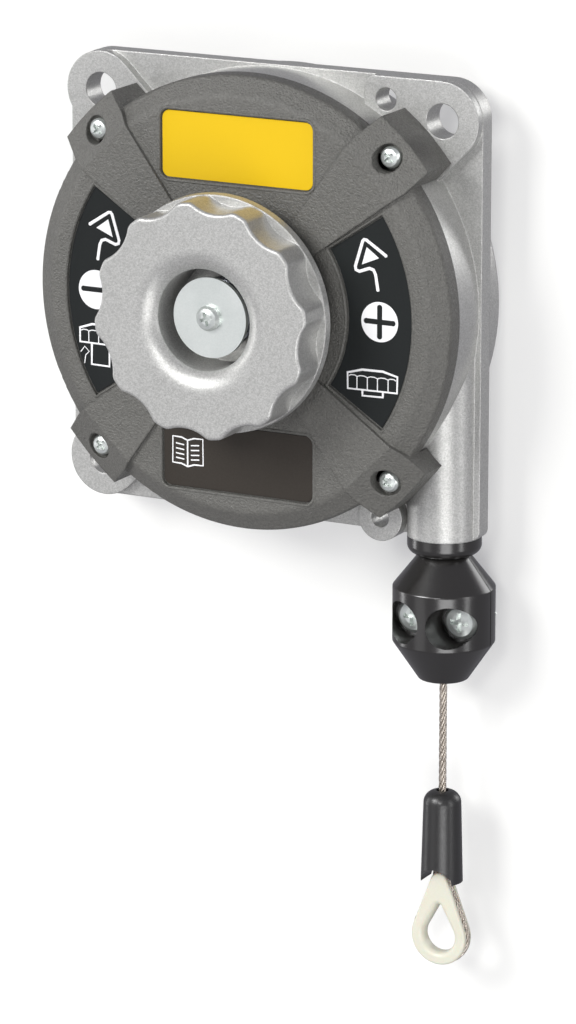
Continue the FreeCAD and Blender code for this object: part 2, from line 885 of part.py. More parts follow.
def arbor():
    body = new_body("arbor")
    end = size.journal_floor + size.free_gap
    revolve(body, profile(body, [
        (0, end), (size.journal_radius, end), (size.journal_radius, hub_front + size.free_gap),
        (size.shaft_radius, hub_front + size.free_gap), (size.shaft_radius, core_start),
        (size.core_radius, core_start), (size.core_radius, core_end),
        (size.shaft_radius, core_end), (size.shaft_radius, ring_face),
        (0, ring_face),
    ]))
    sketch = new_sketch(body, "XZ_Plane", ring_face)
    hexagon(sketch, size.hex_flats)
    pad(body, sketch, arbor_end - ring_face)
    thread = front_circle(body, arbor_end, 0, 0, size.screw_radius + size.running_gap)
    pocket(body, thread, size.screw_length - size.washer_thick + size.free_gap)
    half = size.slot_width / 2
    low = size.core_radius - size.slot_depth
    sketch = new_sketch(body, "XZ_Plane", core_end)
    outer = size.core_radius + OVERRUN
    outline(sketch, [(-outer, -half), (-low, -half), (-low, half), (-outer, half)])
    pocket(body, sketch, core_end - core_start)
    return body


def cable_drum():
    body = new_body("cable_drum")
    bush = size.bush_radius + size.press_gap
    zone_back = rope_ahead - size.rope_zone / 2
    zone_front = rope_ahead + size.rope_zone / 2
    lid = chamber_radius + size.lid_step
    revolve(body, profile(body, [
        (bush, drum_back), (lid - size.wall_thick, drum_back),
        (lid, zone_back - size.flange_thick), (flange_radius, zone_back - size.flange_thick),
        (flange_radius, zone_back), (rope_floor, zone_back), (rope_floor, zone_front),
        (flange_radius, zone_front), (flange_radius, zone_front + size.flange_thick),
        (barrel_radius, zone_front + size.flange_thick),
        (barrel_radius, drum_front), (lid, drum_front), (lid, lid_back),
        (chamber_radius, lid_back), (chamber_radius, chamber_back),
        (bush, chamber_back),
    ]))
    half = size.slot_width / 2
    sketch = new_sketch(body, "XZ_Plane", lid_back)
    inner, outer = chamber_radius - OVERRUN, chamber_radius + size.lid_step
    outline(sketch, [(inner, -half), (outer, -half), (outer, half), (inner, half)])
    pocket(body, sketch, lid_back - chamber_back)
    sketch = new_sketch(body, "XY_Plane", rope_floor)
    circle(sketch, 0, -anchor_ahead, size.anchor_radius + size.press_gap)
    pocket(body, sketch, size.anchor_length)
    return body


def cable_anchor():
    body = new_body("cable_anchor")
    sketch = new_sketch(body, "XY_Plane", rope_floor)
    circle(sketch, 0, -anchor_ahead, size.anchor_radius)
    pad(body, sketch, size.anchor_length, backwards=True)
    return body


def cable_coil():
    front = rope_ahead + size.rope_zone / 2 - size.free_gap
    ring_body("cable_coil", rope_radius - size.rope_size / 2,
              rope_radius + size.rope_size / 2, front - size.coil_width, front)


def drum_lid():
    lid = chamber_radius + size.lid_step - size.press_gap
    ring_body("drum_lid", cover_bore, lid, lid_back, drum_front)


def spiral_edges(stations, offset):
    # half circles through points on alternate sides, each run inwards by the offset
    edges = []
    for outer, inner in zip(stations, stations[1:]):
        start = outer - math.copysign(offset, outer)
        stop = inner - math.copysign(offset, inner)
        middle = (start + stop) / 2
        rise = abs(start - stop) / 2
        top = rise if outer > 0 else -rise
        edges.append(Part.Arc(Vector(start, 0, 0), Vector(middle, 0, top),
                              Vector(stop, 0, 0)).toShape())
    return edges


def power_spring():
    # a flat strip, most of it lying in turns against the barrel, hooked at both ends
    strip = size.strip_thick.value
    pitch = size.strip_pitch.value
    outside = chamber_radius.value - size.running_gap.value
    core = size.core_radius.value + size.running_gap.value + strip
    stations = [(outside - pitch * step / 2) * (-1) ** step
                for step in range(2 * SPRING_COILS + 1)]
    gap = (stations[-1] - core) / 2
    stations += [-(core + gap), core + strip / 2, -core]
    outer, inner = spiral_edges(stations, 0), spiral_edges(stations, strip)
    width = core_end.value - core_start.value - 2 * size.free_gap.value
    ends = [Part.makeLine(inner[0].Vertexes[0].Point, outer[0].Vertexes[0].Point),
            Part.makeLine(inner[-1].Vertexes[-1].Point, outer[-1].Vertexes[-1].Point)]
    wire = Part.Wire(Part.__sortEdges__(outer + inner + ends))
    solid = Part.Face(wire).extrude(Vector(0, -width, 0))
    hook = size.hook_length.value
    drum_end = chamber_radius.value + size.lid_step.value - size.free_gap.value
    solid = solid.fuse([spring_hook(outside - strip, drum_end, width),
                        spring_hook(-core, hook - size.core_radius.value, width)])
    feature = doc.addObject("Part::Feature", "power_spring")
    feature.Label = "power_spring"
    feature.Shape = solid.removeSplitter()
    feature.Placement = Placement(Vector(0, -(core_start + size.free_gap).value, 0), Rotation())
    return feature


def spring_hook(start, stop, width):
    # the strip's straight end, in a slot of the drum or of the arbor
    low = size.side_gap.value - size.slot_width.value / 2
    strip = size.strip_thick.value
    return Part.makeBox(stop - start, width, strip, Vector(start, -width, low))


def ratchet_ring():
    body = new_body("ratchet_ring")
    revolve(body, profile(body, [
        (size.ring_inner, ring_floor), (size.ring_outer, ring_floor),
        (size.ring_outer, ring_face), (size.ring_inner, ring_face),
    ]))
    tooth = pad(body, tooth_sketch(body, ZERO), tooth_outer - tooth_inner)
    around_drum(body, [tooth], size.tooth_count)
    return body


def tooth_sketch(body, gap):
    # saw tooth seen along its radius: a steep face and a ramp
    half = size.tooth_width / 2
    sketch = new_sketch(body, "YZ_Plane", tooth_inner - gap)
    outline(sketch, [(-ring_face, -half - gap), (-ring_face, half + gap),
                     (-(ring_face + size.tooth_height + gap), half + gap),
                     (-(ring_face + size.tooth_height + gap), half - size.tooth_land)])
    return sketch


def tension_knob():
    body = new_body("tension_knob")
    hub = size.ring_outer + size.free_gap
    top_wall = knob_front - size.face_wall
    bore_wall = size.bore_radius + size.wall_thick
    base = rim_radius - size.knob_base_inset
    across, depth = size.dish_radius - size.bore_radius, size.dish_depth
    dish = (across * across + depth * depth) / (depth * 2)
    revolve(body, profile(body, [
        (0, web_back), (hub, web_back), (hub, web_front),
        (bore_wall, web_front + size.wall_thick), (bore_wall, top_wall),
        (skirt_inner, top_wall), (skirt_inner, knob_back), (base, knob_back),
        (rim_radius, knob_rim), (size.lobe_radius + size.ledge_step, ledge),
        (size.lobe_radius, ledge), (size.lobe_radius, knob_front),
        (size.dish_radius, knob_front, (size.dish_radius, knob_front - dish), dish, -1),
        (size.bore_radius, knob_front - depth), (size.bore_radius, web_front),
        (0, web_front),
    ]))
    flute_knob(body)
    sketch = new_sketch(body, "XZ_Plane", web_front)
    hexagon(sketch, size.hex_flats + size.side_gap * 2)
    pocket(body, sketch)
    clearance = size.free_gap
    sketch = tooth_sketch(body, clearance)
    cut = pocket(body, sketch, tooth_outer - tooth_inner + clearance * 2, backwards=True)
    around_drum(body, [cut], size.tooth_count)
    return body


def flute_knob(body):
    # rounded hollows between the lobes, each ending on the rim's ledge
    turn = SIZES["lobe_angle"] + 180 / FLUTES
    centre = size.lobe_radius - size.flute_depth + size.flute_radius
    sketch = front_circle(body, knob_front, centre, 0, size.flute_radius, turn)
    flute = pocket(body, sketch, knob_front - ledge)
    around_drum(body, [flute], FLUTES)
    fillet(body, is_lobe_corner, size.flute_rounding)
    fillet(body, is_face_outline, size.face_rounding)


def from_axis(vertex):
    return math.hypot(vertex.X, vertex.Z)


def is_lobe_corner(edge):
    # the straight edges where a flute meets the outside of a lobe
    box = edge.BoundBox
    if max(box.XLength, box.ZLength) > 0.01:
        return False
    return abs(from_axis(edge.Vertexes[0]) - size.lobe_radius.value) < 0.01


def is_face_outline(edge):
    if not lies_at(edge, knob_front):
        return False
    return all(from_axis(vertex) > size.dish_radius.value + OVERRUN for vertex in edge.Vertexes)


def knob_washer():
    ring_body("knob_washer", size.screw_radius + size.side_gap, size.washer_radius,
              arbor_end, arbor_end + size.washer_thick)


def knob_screw():
    body = new_body("knob_screw")
    seat = arbor_end + size.washer_thick
    corners = screw_corners(size.screw_radius, size.screw_length,
                            size.screw_head_radius, size.screw_head_height)
    revolve(body, profile(body, [(radius, seat + ahead) for radius, ahead in corners]))
    cross_recess(body, seat, ZERO, ZERO, size.screw_head_radius, size.screw_head_height,
                 RECESS_TURN)
    return body


def knob_spring():
    # return spring between the knob's web and the washer
    wire = size.spring_wire.value
    radius = size.spring_radius.value
    start = web_front.value + wire / 2 + size.running_gap.value
    height = arbor_end.value - web_front.value - wire - 2 * size.running_gap.value
    helix = Part.makeHelix(height / size.spring_turns.value, height, radius)
    section = Part.Wire(Part.makeCircle(wire / 2, Vector(radius, 0, 0), Vector(0, 1, 0)))
    coil = Part.Wire(helix).makePipeShell([section], True, True)
    feature = doc.addObject("Part::Feature", "knob_spring")
    feature.Label = "knob_spring"
    feature.Shape = coil
    feature.Placement = Placement(Vector(0, -start, 0), Rotation(Vector(1, 0, 0), 90))
    return feature


def outlet_bushing():
    body = new_body("outlet_bushing")
    spigot = size.tube_bore - size.press_gap
    eye, edge = size.bushing_eye, size.bushing_rounding
    outside = size.tube_radius
    low = bushing_bottom - edge
    revolve(body, cable_profile(body, [
        (spigot - size.bushing_wall, plate_half - size.bushing_spigot),
        (spigot, plate_half - size.bushing_spigot), (spigot, plate_half),
        (outside, plate_half), (outside, low, (outside - edge, low), edge, -1),
        (outside - edge, bushing_bottom), (eye * 1.5, bushing_bottom),
        (eye, bushing_bottom - eye / 2), (eye, plate_half),
    ]))
    return body


def stop_profile(body):
    return cable_profile(body, [
        (cable_bore, stop_top), (size.stop_neck, stop_top), (size.stop_radius, stop_shoulder),
        (size.stop_radius, stop_hip), (size.stop_foot_radius, stop_bottom),
        (cable_bore, stop_bottom),
    ])


def stop_half(label, behind):
    # one half of the cable stop, split on the plane through the cable's axis
    body = new_body(label)
    revolve(body, stop_profile(body), 180, not behind)
    fillet(body, is_stop_edge, size.stop_rounding)
    split = size.stop_split / 2
    reach = size.stop_radius + OVERRUN
    low, high = stop_bottom + OVERRUN, stop_top - OVERRUN
    sketch = new_sketch(body, "XZ_Plane", rope_ahead, 0, (cable_across, ZERO))
    outline(sketch, [(-reach, -low), (reach, -low), (reach, -high), (-reach, -high)])
    pocket(body, sketch, split, backwards=not behind)
    seat = size.nut_seat if behind else size.stop_seat
    for side in (1, -1):
        across = cable_across + side * size.stop_screw_across
        ahead = rope_ahead + size.stop_radius * (-1 if behind else 1)
        shank = front_circle(body, rope_ahead, across, -stop_screw_level,
                             size.stop_screw_radius + size.side_gap)
        pocket(body, shank, size.stop_radius, backwards=not behind)
        sketch = new_sketch(body, "XZ_Plane", ahead, 0, (across, -stop_screw_level))
        if behind:
            hexagon(sketch, size.nut_flats + size.side_gap * 2)
        else:
            circle(sketch, 0, 0, size.stop_counterbore)
        pocket(body, sketch, size.stop_radius - seat, backwards=behind)
    return body


def is_stop_edge(edge):
    # the round edges of the stop's outside
    return isinstance(edge.Curve, Part.Circle) and edge.Curve.Radius > size.stop_neck.value / 2


def stop_screws():
    body = new_body("stop_screws")
    seat = rope_ahead + size.stop_seat
    length = size.stop_seat + size.nut_seat + size.nut_thick
    for side in (1, -1):
        across = cable_across + side * size.stop_screw_across
        sketch = new_sketch(body, "XY_Plane", -stop_screw_level, 0, (across, -seat))
        corners = screw_corners(size.stop_screw_radius, length,
                                size.stop_head_radius, size.stop_head_height)
        outline(sketch, along_axis(corners))
        revolve(body, sketch)
        cross_recess(body, seat, across, -stop_screw_level, size.stop_head_radius,
                     size.stop_head_height)
    return body


def stop_nuts():
    body = new_body("stop_nuts")
    seat = rope_ahead - size.nut_seat
    for side in (1, -1):
        across = cable_across + side * size.stop_screw_across
        sketch = new_sketch(body, "XZ_Plane", seat, 0, (across, -stop_screw_level))
        hexagon(sketch, size.nut_flats)
        circle(sketch, 0, 0, size.stop_screw_radius + size.running_gap)
        pad(body, sketch, size.nut_thick, backwards=True)
    return body


def cable_rod(label, top, bottom):
    body = new_body(label)
    sketch = new_sketch(body, "XY_Plane", -bottom)
    circle(sketch, cable_across, -rope_ahead, size.rope_size / 2)
    pad(body, sketch, bottom - top)
    return body


def cables():
    cable_rod("cable_inside", ZERO, stop_bottom)
    cable_rod("cable", stop_bottom, ferrule_top)


def end_sleeve():
    body = new_body("end_sleeve")
    mouth, shoulder = size.sleeve_mouth, size.sleeve_top_radius
    dome = shoulder - mouth
    mouth_floor = sleeve_top + size.sleeve_mouth_depth
    ferrule = size.ferrule_radius + size.running_gap
    revolve(body, cable_profile(body, [
        (cable_bore, mouth_floor), (mouth, mouth_floor),
        (mouth, sleeve_top, (mouth, sleeve_top + dome), dome, -1),
        (shoulder, sleeve_top + dome), (size.sleeve_radius, sleeve_bottom),
        (ferrule, sleeve_bottom), (ferrule, ferrule_top), (cable_bore, ferrule_top),
    ]))
    sketch = new_sketch(body, "XZ_Plane", rope_ahead, 0, (cable_across, ZERO))
    teardrop(sketch, size.free_gap)
    pocket(body, sketch, size.eye_thick + size.free_gap * 2, centred=True)
    arch = new_sketch(body, "XZ_Plane", rope_ahead, 0, (cable_across, ZERO))
    circle(arch, 0, -(sleeve_bottom + size.arch_radius - size.arch_rise), size.arch_radius)
    pocket(body, arch, size.sleeve_radius * 3, centred=True)
    return body


def drop_points(bottom, radius, tip, height):
    # a big circle at the bottom and a small one above, joined by their tangent lines
    low = bottom - radius
    lean = (radius - tip) / height
    flat = root(1 - lean * lean)
    return low, lean, flat


def drop(sketch, bottom, radius, tip, height):
    low, lean, flat = drop_points(bottom, radius, tip, height)
    high = low - height
    big = (radius * flat, -(low - radius * lean))
    small = (tip * flat, -(high - tip * lean))
    outline(sketch, [
        (big[0], big[1]), (small[0], small[1], (ZERO, -high), tip, 1),
        (-small[0], small[1]), (-big[0], big[1], (ZERO, -low), radius, 1),
    ])


def teardrop(sketch, grow):
    drop(sketch, eye_bottom + grow, size.eye_radius + grow, size.eye_tip + grow,
         size.eye_height)


def thimble():
    body = new_body("thimble")
    axis = (cable_across, ZERO)
    core = new_sketch(body, "XZ_Plane", rope_ahead, 0, axis)
    teardrop(core, -size.eye_groove)
    pad(body, core, size.groove_width + OVERRUN, centred=True)
    cheek = (size.eye_thick - size.groove_width) / 2
    back, front = rope_ahead - size.eye_thick / 2, rope_ahead + size.eye_thick / 2
    for ahead in (front - cheek, back):
        sketch = new_sketch(body, "XZ_Plane", ahead, 0, axis)
        teardrop(sketch, ZERO)
        pad(body, sketch, cheek)
    fillet(body, lambda edge: lies_at(edge, front) or lies_at(edge, back),
           size.cheek_rounding)
    sketch = new_sketch(body, "XZ_Plane", rope_ahead, 0, axis)
    hole_bottom = eye_bottom - size.eye_radius + size.hole_radius
    drop(sketch, hole_bottom, size.hole_radius, size.hole_tip, size.hole_height)
    pocket(body, sketch, size.eye_thick + OVERRUN, centred=True)
    hole_top = hole_bottom - size.hole_radius - size.hole_height - size.hole_tip

    def is_hole_edge(edge):
        if not (lies_at(edge, front) or lies_at(edge, back)):
            return False
        low, high = -hole_bottom.value - 0.01, -hole_top.value + 0.01
        return low < edge.BoundBox.ZMin and edge.BoundBox.ZMax < high

    fillet(body, is_hole_edge, size.hole_rounding)
    return body


def cable_loop():
    # the rope's return bend in the groove of the thimble, both legs held by the ferrule
    rope = size.rope_size.value / 2
    inset = size.eye_groove.value - rope - size.running_gap.value
    low, lean, flat = drop_points(eye_bottom, size.eye_radius, size.eye_tip,
                                  size.eye_height)
    radius = size.eye_radius.value - inset
    tip = size.eye_tip.value - inset
    high = low.value - size.eye_height.value
    slant = Vector(lean.value, 0, -flat.value)
    big = Vector(radius * flat.value, 0, -(low.value - radius * lean.value))
    small = Vector(tip * flat.value, 0, -(high - tip * lean.value))
    turn = math.asin(lean.value)
    bend = size.leg_bend.value
    tangent = bend * math.tan(turn / 2)
    knee = small + slant * tangent
    above = small + Vector(0, 0, tangent)
    middle = Vector(small.x + bend * (1 - math.cos(turn / 2)), 0,
                    above.z - bend * math.sin(turn / 2))
    top = Vector(small.x, 0, -ferrule_bottom.value)
    right = [(top, above), (knee, big)]
    mirrored = [tuple(Vector(-point.x, 0, point.z) for point in pair) for pair in right]
    bottom = Vector(0, 0, -(low.value + radius))
    path = Part.Wire([
        Part.makeLine(*right[0]), Part.Arc(above, middle, knee).toShape(),
        Part.makeLine(*right[1]),
        Part.Arc(big, bottom, mirrored[1][1]).toShape(),
        Part.makeLine(mirrored[1][1], mirrored[1][0]),
        Part.Arc(mirrored[1][0], Vector(-middle.x, 0, middle.z), mirrored[0][1]).toShape(),
        Part.makeLine(mirrored[0][1], mirrored[0][0]),
    ])
    section = Part.Wire(Part.makeCircle(rope, top, Vector(0, 0, 1)))
    feature = doc.addObject("Part::Feature", "cable_loop")
    feature.Label = "cable_loop"
    feature.Shape = path.makePipeShell([section], True, True)
    feature.Placement = Placement(Vector(cable_across.value, -rope_ahead.value, 0),
                                  Rotation())
    print(f"cable_loop: bends {bend:.1f} and {radius:.2f} mm, sweep "
          f"{feature.Shape.Volume / (math.pi * rope * rope * path.Length):.4f} of its length")
    return feature


def end_ferrule():
    body = new_body("end_ferrule")
    revolve(body, cable_profile(body, [
        (0, ferrule_top), (size.ferrule_radius, ferrule_top),
        (size.ferrule_radius, ferrule_bottom), (0, ferrule_bottom),
    ]))
    return body


housing()
front_cover()
side_label("label_right", 1)
side_label("label_left", -1)
end_label("label_top", 1)
end_label("label_bottom", -1)
cover_screws()
bearings()
arbor()
cable_drum()
drum_lid()
cable_coil()
cable_anchor()
power_spring()
ratchet_ring()
tension_knob()
knob_washer()
knob_screw()
knob_spring()
outlet_bushing()
stop_half("stop_half_front", False)
stop_half("stop_half_rear", True)
stop_screws()
stop_nuts()
cables()
end_sleeve()
thimble()
cable_loop()
end_ferrule()
doc.recompute()

kept = [item for item in doc.Objects
        if item.TypeId in ("PartDesign::Body", "Part::Feature")]
for item in doc.Objects:
    if "Invalid" in item.State or "Error" in item.State:
        raise ValueError(f"{item.Label} failed: {item.State}")
for item in kept:
    if item.Shape.isNull() or not item.Shape.isValid():
        raise ValueError(f"{item.Label} has no valid shape")
os.makedirs("parts", exist_ok=True)
for item in kept:
    item.Shape.exportStep(f"parts/{item.Label}.step")
    print(f"{item.Label}: {len(item.Shape.Solids)} solid, {item.Shape.Volume:.0f} mm3")
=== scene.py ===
import json
import math

import bpy
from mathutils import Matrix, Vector

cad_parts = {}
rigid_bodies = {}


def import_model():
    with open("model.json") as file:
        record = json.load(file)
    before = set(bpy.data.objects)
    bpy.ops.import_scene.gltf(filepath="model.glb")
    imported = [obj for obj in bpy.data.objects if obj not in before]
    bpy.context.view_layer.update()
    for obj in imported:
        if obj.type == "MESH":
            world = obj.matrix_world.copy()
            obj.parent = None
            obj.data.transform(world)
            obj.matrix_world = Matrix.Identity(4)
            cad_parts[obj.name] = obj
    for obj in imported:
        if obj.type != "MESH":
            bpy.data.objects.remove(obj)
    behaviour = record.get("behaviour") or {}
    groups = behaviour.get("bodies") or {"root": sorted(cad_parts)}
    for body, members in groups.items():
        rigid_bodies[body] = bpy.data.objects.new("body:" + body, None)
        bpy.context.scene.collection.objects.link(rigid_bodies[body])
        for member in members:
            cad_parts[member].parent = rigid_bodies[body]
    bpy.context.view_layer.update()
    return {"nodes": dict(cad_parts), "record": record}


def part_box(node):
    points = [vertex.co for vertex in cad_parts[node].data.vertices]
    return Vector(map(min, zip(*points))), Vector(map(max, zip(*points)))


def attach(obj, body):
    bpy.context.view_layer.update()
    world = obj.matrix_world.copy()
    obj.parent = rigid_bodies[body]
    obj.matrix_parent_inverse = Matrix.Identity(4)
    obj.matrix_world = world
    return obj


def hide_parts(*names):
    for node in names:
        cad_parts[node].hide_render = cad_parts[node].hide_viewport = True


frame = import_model()
nodes = frame["nodes"]
mm = 0.001
print("frame loaded")


def deselectAll():
    for thing in bpy.context.view_layer.objects:
        thing.select_set(False)


def makeActive(piece):
    deselectAll()
    piece.select_set(True)
    bpy.context.view_layer.objects.active = piece


def settle(piece):
    # place, turn and scale go into the mesh, and every modifier is applied
    makeActive(piece)
    if piece.type != "MESH":
        bpy.ops.object.convert(target="MESH")
    bpy.ops.object.transform_apply(location=True, rotation=True, scale=True)
    for modifier in list(piece.modifiers):
        bpy.ops.object.modifier_apply(modifier=modifier.name)
    return piece


def joined(name, pieces):
    deselectAll()
    for piece in pieces:
        piece.select_set(True)
    bpy.context.view_layer.objects.active = pieces[0]
    if len(pieces) > 1:
        bpy.ops.object.join()
    pieces[0].name = name
    pieces[0].data.name = name
    return pieces[0]


def smooth(piece, angle=60):
    makeActive(piece)
    bpy.ops.object.shade_smooth_by_angle(angle=math.radians(angle))
    return piece


def place(curve):
    piece = bpy.data.objects.new(curve.name, curve)
    bpy.context.scene.collection.objects.link(piece)
    return piece


def drawCurve(name, points, kind="POLY", closed=False, dimensions="3D", **settings):
    curve = bpy.data.curves.new(name, "CURVE")
    curve.dimensions = dimensions
    for key, value in settings.items():
        setattr(curve, key, value)
    spline = curve.splines.new(kind)
    spline.points.add(len(points) - 1)
    for point, spot in zip(spline.points, points):
        point.co = (*spot, 1)
    spline.use_cyclic_u = closed
    return curve


def roundLine(name, points, radius, rounds, closed=False):
    # a solid line, round in section
    return place(drawCurve(name, points, closed=closed, bevel_depth=radius,
                           bevel_resolution=rounds, use_fill_caps=True))


# the camera stands in front, to the right and a little above

studio = {"azimuth": 27.66, "elevation": 14.87, "lens": 180.45,
          "eye": (742.7 * mm, -1425.4 * mm, 350.2 * mm), "near": 0.01, "far": 50}


def buildCamera():
    turn, tilt = math.radians(studio["azimuth"]), math.radians(studio["elevation"])
    ahead = Vector((-math.sin(turn) * math.cos(tilt), math.cos(turn) * math.cos(tilt),
                    -math.sin(tilt)))
    data = bpy.data.cameras.new("camera")
    data.lens = studio["lens"]
    data.clip_start, data.clip_end = studio["near"], studio["far"]
    camera = bpy.data.objects.new("camera", data)
    camera.location = studio["eye"]
    camera.rotation_mode = "QUATERNION"
    camera.rotation_quaternion = ahead.to_track_quat("-Z", "Y")
    bpy.context.scene.collection.objects.link(camera)
    bpy.context.scene.camera = camera


buildCamera()


# finishes: one skin group serves every painted, plated and moulded surface

grainInputs = {"Grain Scale": "grainScale", "Flake Scale": "flakeScale",
               "Tone Scale": "toneScale", "Tone Amount": "tone", "Flake Amount": "flake"}


def addNode(tree, kind, **settings):
    node = tree.nodes.new(kind)
    for key, value in settings.items():
        if key in node.inputs.keys():
            node.inputs[key].default_value = value
        else:
            setattr(node, key, value)
    return node


def buildSkinGrain():
    group = bpy.data.node_groups.new("skinGrain", "ShaderNodeTree")
    for labels, way, kind in ((grainInputs, "INPUT", "NodeSocketFloat"),
                              (("Dark", "Light"), "INPUT", "NodeSocketColor"),
                              (("Color",), "OUTPUT", "NodeSocketColor"),
                              (("Height", "Flake"), "OUTPUT", "NodeSocketFloat")):
        for label in labels:
            group.interface.new_socket(name=label, in_out=way, socket_type=kind)
    link = group.links.new
    given = addNode(group, "NodeGroupInput")
    result = addNode(group, "NodeGroupOutput")
    where = addNode(group, "ShaderNodeTexCoord")
    grain = addNode(group, "ShaderNodeTexNoise", Detail=2.0, Roughness=0.6)
    tone = addNode(group, "ShaderNodeTexNoise", Detail=3.0, Roughness=0.5)
    flakes = addNode(group, "ShaderNodeTexVoronoi")
    for texture, label in ((grain, "Grain Scale"), (flakes, "Flake Scale"), (tone, "Tone Scale")):
        link(where.outputs["Object"], texture.inputs["Vector"])
        link(given.outputs[label], texture.inputs["Scale"])
    flake = addNode(group, "ShaderNodeSeparateColor")
    link(flakes.outputs["Color"], flake.inputs["Color"])
    speckle = addNode(group, "ShaderNodeMath", operation="MULTIPLY")
    link(flake.outputs["Red"], speckle.inputs[0])
    link(given.outputs["Flake Amount"], speckle.inputs[1])
    patch = addNode(group, "ShaderNodeMath", operation="MULTIPLY")
    link(tone.outputs["Fac"], patch.inputs[0])
    link(given.outputs["Tone Amount"], patch.inputs[1])
    share = addNode(group, "ShaderNodeMath", operation="ADD", use_clamp=True)
    link(speckle.outputs[0], share.inputs[0])
    link(patch.outputs[0], share.inputs[1])
    # a Mix node keeps its colours at inputs 6 and 7 and at output 2
    mixed = addNode(group, "ShaderNodeMix", data_type="RGBA")
    link(share.outputs[0], mixed.inputs[0])
    link(given.outputs["Dark"], mixed.inputs[6])
    link(given.outputs["Light"], mixed.inputs[7])
    link(mixed.outputs[2], result.inputs["Color"])
    link(grain.outputs["Fac"], result.inputs["Height"])
    link(flake.outputs["Green"], result.inputs["Flake"])
    return group


skinGrain = buildSkinGrain()

# what a look doesn't say itself; bumpHeight and edge are in millimetres
usualLook = {"metallic": 0.0, "glossSpread": 0.08, "grainScale": 1500, "flakeScale": 2500,
             "toneScale": 25, "tone": 0.3, "flake": 0.3, "bump": 0.2, "bumpHeight": 0.1}


def skin(name, ownLook):
    look = {**usualLook, **ownLook}
    material = bpy.data.materials.new(name)
    material.use_nodes = True
    tree = material.node_tree
    link = tree.links.new
    shader = tree.nodes["Principled BSDF"]
    shader.inputs["Metallic"].default_value = look["metallic"]
    for label in ("Subsurface Weight", "Subsurface Scale", "Specular IOR Level"):
        if label in look:
            shader.inputs[label].default_value = look[label]
    grain = addNode(tree, "ShaderNodeGroup", node_tree=skinGrain)
    for label, key in grainInputs.items():
        grain.inputs[label].default_value = look[key]
    grain.inputs["Dark"].default_value = (*look["dark"], 1)
    grain.inputs["Light"].default_value = (*look["light"], 1)
    link(grain.outputs["Color"], shader.inputs["Base Color"])
    gloss = addNode(tree, "ShaderNodeMath", operation="MULTIPLY_ADD")
    gloss.inputs[1].default_value = look["glossSpread"]
    gloss.inputs[2].default_value = look["roughness"]
    link(grain.outputs["Flake"], gloss.inputs[0])
    link(gloss.outputs[0], shader.inputs["Roughness"])
    bump = addNode(tree, "ShaderNodeBump", Strength=look["bump"],
                   Distance=look["bumpHeight"] * mm)
    link(grain.outputs["Height"], bump.inputs["Height"])
    if "edge" in look:
        # cast and moulded edges are slightly round
        edge = addNode(tree, "ShaderNodeBevel", samples=6, Radius=look["edge"] * mm)
        link(edge.outputs["Normal"], bump.inputs["Normal"])
    link(bump.outputs["Normal"], shader.inputs["Normal"])
    return material


